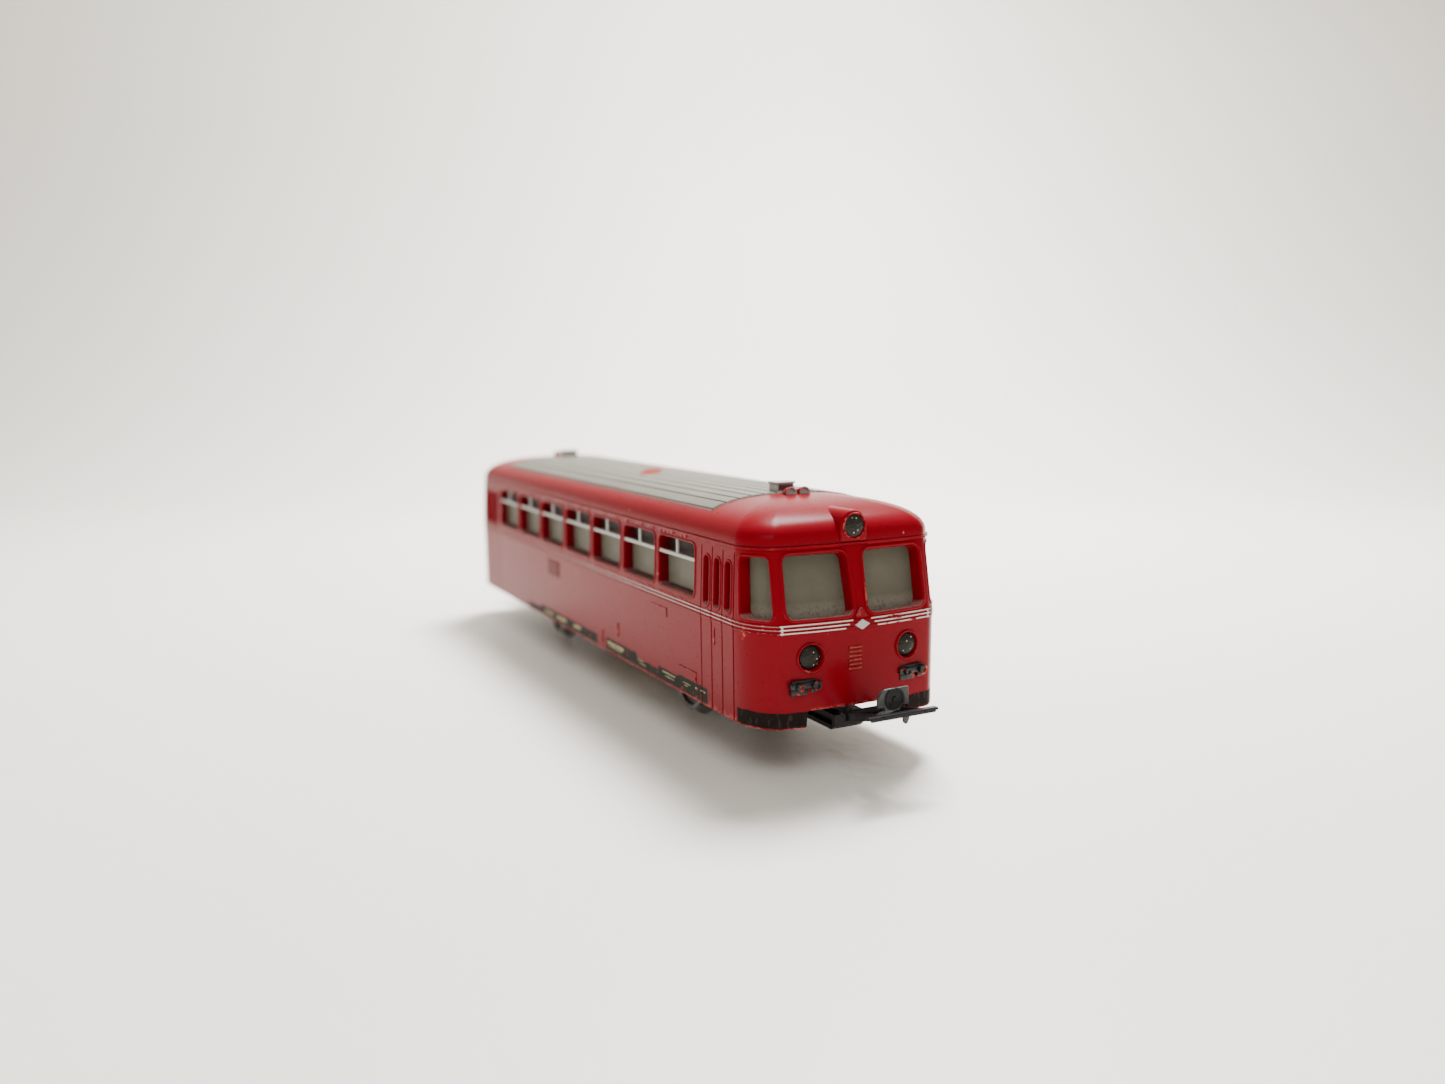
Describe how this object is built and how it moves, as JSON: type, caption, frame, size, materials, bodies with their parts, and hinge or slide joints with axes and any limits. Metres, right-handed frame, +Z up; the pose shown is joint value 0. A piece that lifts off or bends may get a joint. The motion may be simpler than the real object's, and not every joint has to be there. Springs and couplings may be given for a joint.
{
  "type": "model diesel railbus",
  "caption": "H0 scale two-axle diesel railbus model: red cab-ended body on a die-cast frame with geared motor, centre pickup and swinging bow couplers.",
  "frame": {"origin": "on the plane the wheel flanges stand on, under the middle of the railbus", "axes": "+X forwards to the front cab, +Y to its left, +Z up"},
  "size_m": [0.1686, 0.0344, 0.0421],
  "materials": {
    "red_moulding": "glossy dark red moulded plastic, worn",
    "grey_roof": "satin silver-grey paint on plastic",
    "frosted_glazing": "smoky frosted translucent plastic",
    "lamp_lens": "clear moulded lens, dusty",
    "bulb_glass": "clear",
    "black_casting": "semi-gloss black on die casting",
    "blackened_steel": "blackened sheet steel, rubbed bright on edges",
    "bright_steel": "plain",
    "wheel_steel": "blackened, tread bright",
    "brass_parts": "plain",
    "gear_plastic": "plain",
    "copper_winding": "lacquered copper",
    "insulating_board": "laminated board",
    "carbon": "carbon",
    "spring_bronze": "plain",
    "tyre_rubber": "matt"
  },
  "bodies": {
    "chassis": {"body_shell": "red_moulding", "roof_panel": "grey_roof", "side_glazing_left": "frosted_glazing", "side_glazing_right": "frosted_glazing", "cab_glazing_front": "frosted_glazing", "cab_glazing_rear": "frosted_glazing", "chassis_frame": "black_casting", "roof_vent_front": "grey_roof", "horn_left_front": "red_moulding", "horn_right_front": "red_moulding", "headlight_left_front": "lamp_lens", "headlight_right_front": "lamp_lens", "top_lamp_front": "lamp_lens", "lamp_bulb_front": "bulb_glass", "lamp_holder_front": "brass_parts", "coupler_pivot_screw_front": "bright_steel", "body_screw_front_left": "bright_steel", "body_screw_front_right": "bright_steel", "roof_vent_rear": "grey_roof", "horn_left_rear": "red_moulding", "horn_right_rear": "red_moulding", "headlight_left_rear": "lamp_lens", "headlight_right_rear": "lamp_lens", "top_lamp_rear": "lamp_lens", "lamp_bulb_rear": "bulb_glass", "lamp_holder_rear": "brass_parts", "coupler_pivot_screw_rear": "bright_steel", "body_screw_rear_left": "bright_steel", "body_screw_rear_right": "bright_steel", "idler_gear_pin": "bright_steel", "reduction_gear_pin": "bright_steel", "motor_field_magnet": "bright_steel", "field_coil": "copper_winding", "brush_plate": "insulating_board", "brush_front": "carbon", "brush_rear": "carbon", "pickup_base": "insulating_board", "pickup_spring": "spring_bronze"},
    "armature": {"armature_core": "bright_steel", "armature_shaft": "bright_steel", "commutator": "copper_winding", "motor_pinion": "brass_parts"},
    "reduction_gear": {"reduction_gear": "gear_plastic"},
    "idler_gear": {"idler_gear": "gear_plastic"},
    "wheelset_rear": {"axle_rear": "bright_steel", "wheel_rear_left": "wheel_steel", "wheel_rear_right": "wheel_steel", "traction_tyre_left": "tyre_rubber", "traction_tyre_right": "tyre_rubber", "axle_gear": "brass_parts"},
    "wheelset_front": {"axle_front": "bright_steel", "wheel_front_left": "wheel_steel", "wheel_front_right": "wheel_steel"},
    "pickup": {"pickup_shoe": "bright_steel"},
    "coupler_front": {"coupler_shank_front": "blackened_steel", "coupler_pin_front": "bright_steel"},
    "bow_front": {"coupler_bow_front": "blackened_steel"},
    "coupler_rear": {"coupler_shank_rear": "blackened_steel", "coupler_pin_rear": "bright_steel"},
    "bow_rear": {"coupler_bow_rear": "blackened_steel"}
  },
  "joints": [
    {"name": "motor_spin", "type": "hinge", "parent": "chassis", "child": "armature", "pos_m": [-0.01518, 0, 0.01967], "axis": [0, 1, 0], "continuous": true},
    {"name": "reduction_spin", "type": "hinge", "parent": "chassis", "child": "reduction_gear", "pos_m": [-0.0221, 0.005, 0.01483], "axis": [0, 1, 0], "continuous": true},
    {"name": "idler_spin", "type": "hinge", "parent": "chassis", "child": "idler_gear", "pos_m": [-0.02965, 0.004, 0.01208], "axis": [0, 1, 0], "continuous": true},
    {"name": "rear_axle_spin", "type": "hinge", "parent": "chassis", "child": "wheelset_rear", "pos_m": [-0.0345, 0, 0.0063], "axis": [0, 1, 0], "continuous": true},
    {"name": "front_axle_spin", "type": "hinge", "parent": "chassis", "child": "wheelset_front", "pos_m": [0.0345, 0, 0.0063], "axis": [0, 1, 0], "continuous": true},
    {"name": "pickup_travel", "type": "slide", "parent": "chassis", "child": "pickup", "axis": [0, 0, 1], "range_m": [0, 0.0022], "stiffness_N_per_m": 40, "deforming": ["pickup_spring"]},
    {"name": "front_coupler_swing", "type": "hinge", "parent": "chassis", "child": "coupler_front", "pos_m": [0.064, 0, 0.009], "axis": [0, 0, 1], "range_deg": [-12, 12]},
    {"name": "front_bow_lift", "type": "hinge", "parent": "coupler_front", "child": "bow_front", "pos_m": [0.075, 0, 0.0096], "axis": [0, -1, 0], "range_deg": [0, 24]},
    {"name": "rear_coupler_swing", "type": "hinge", "parent": "chassis", "child": "coupler_rear", "pos_m": [-0.064, 0, 0.009], "axis": [0, 0, 1], "range_deg": [-12, 12]},
    {"name": "rear_bow_lift", "type": "hinge", "parent": "coupler_rear", "child": "bow_rear", "pos_m": [-0.075, 0, 0.0096], "axis": [0, 1, 0], "range_deg": [0, 24]}
  ],
  "couplings": [
    {"joint": "reduction_spin", "follows": "motor_spin", "ratio": -0.3125},
    {"joint": "idler_spin", "follows": "motor_spin", "ratio": 0.14205},
    {"joint": "rear_axle_spin", "follows": "motor_spin", "ratio": -0.094697}
  ]
}
